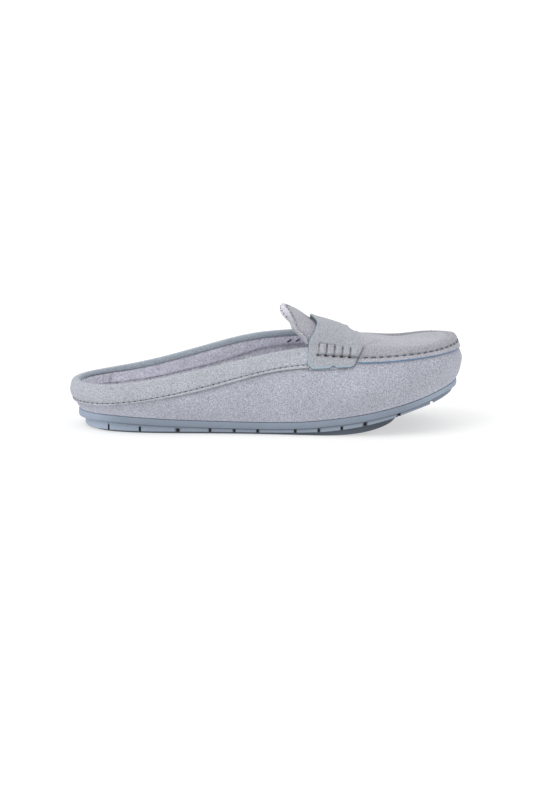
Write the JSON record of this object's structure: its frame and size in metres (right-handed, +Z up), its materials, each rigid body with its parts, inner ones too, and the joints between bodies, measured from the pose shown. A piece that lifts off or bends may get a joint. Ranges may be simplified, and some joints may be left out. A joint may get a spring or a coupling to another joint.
{
  "type": "loafer",
  "caption": "Suede moccasin loafer with a low back, padded collar, puckered saddle strap, upright tongue and a stepped rubber sole. Right shoe, empty.",
  "frame": {"origin": "centre of the shoe's footprint box, on the floor", "axes": "+X from heel to toe, +Y to the inner (medial) side, +Z up"},
  "size_m": [0.2522, 0.0925, 0.0791],
  "materials": {
    "suede": "matte pale blue-grey suede with a fine nap",
    "collar_suede": "matte grey-blue suede",
    "lining": "smooth lavender lining leather, low sheen",
    "sole_rubber": "matte grey-blue moulded rubber"
  },
  "bodies": {
    "root": {"outsole": "sole_rubber", "insole": "lining", "upper": "suede", "collar_band": "collar_suede", "strap": "suede", "tongue": "suede"}
  },
  "joints": []
}
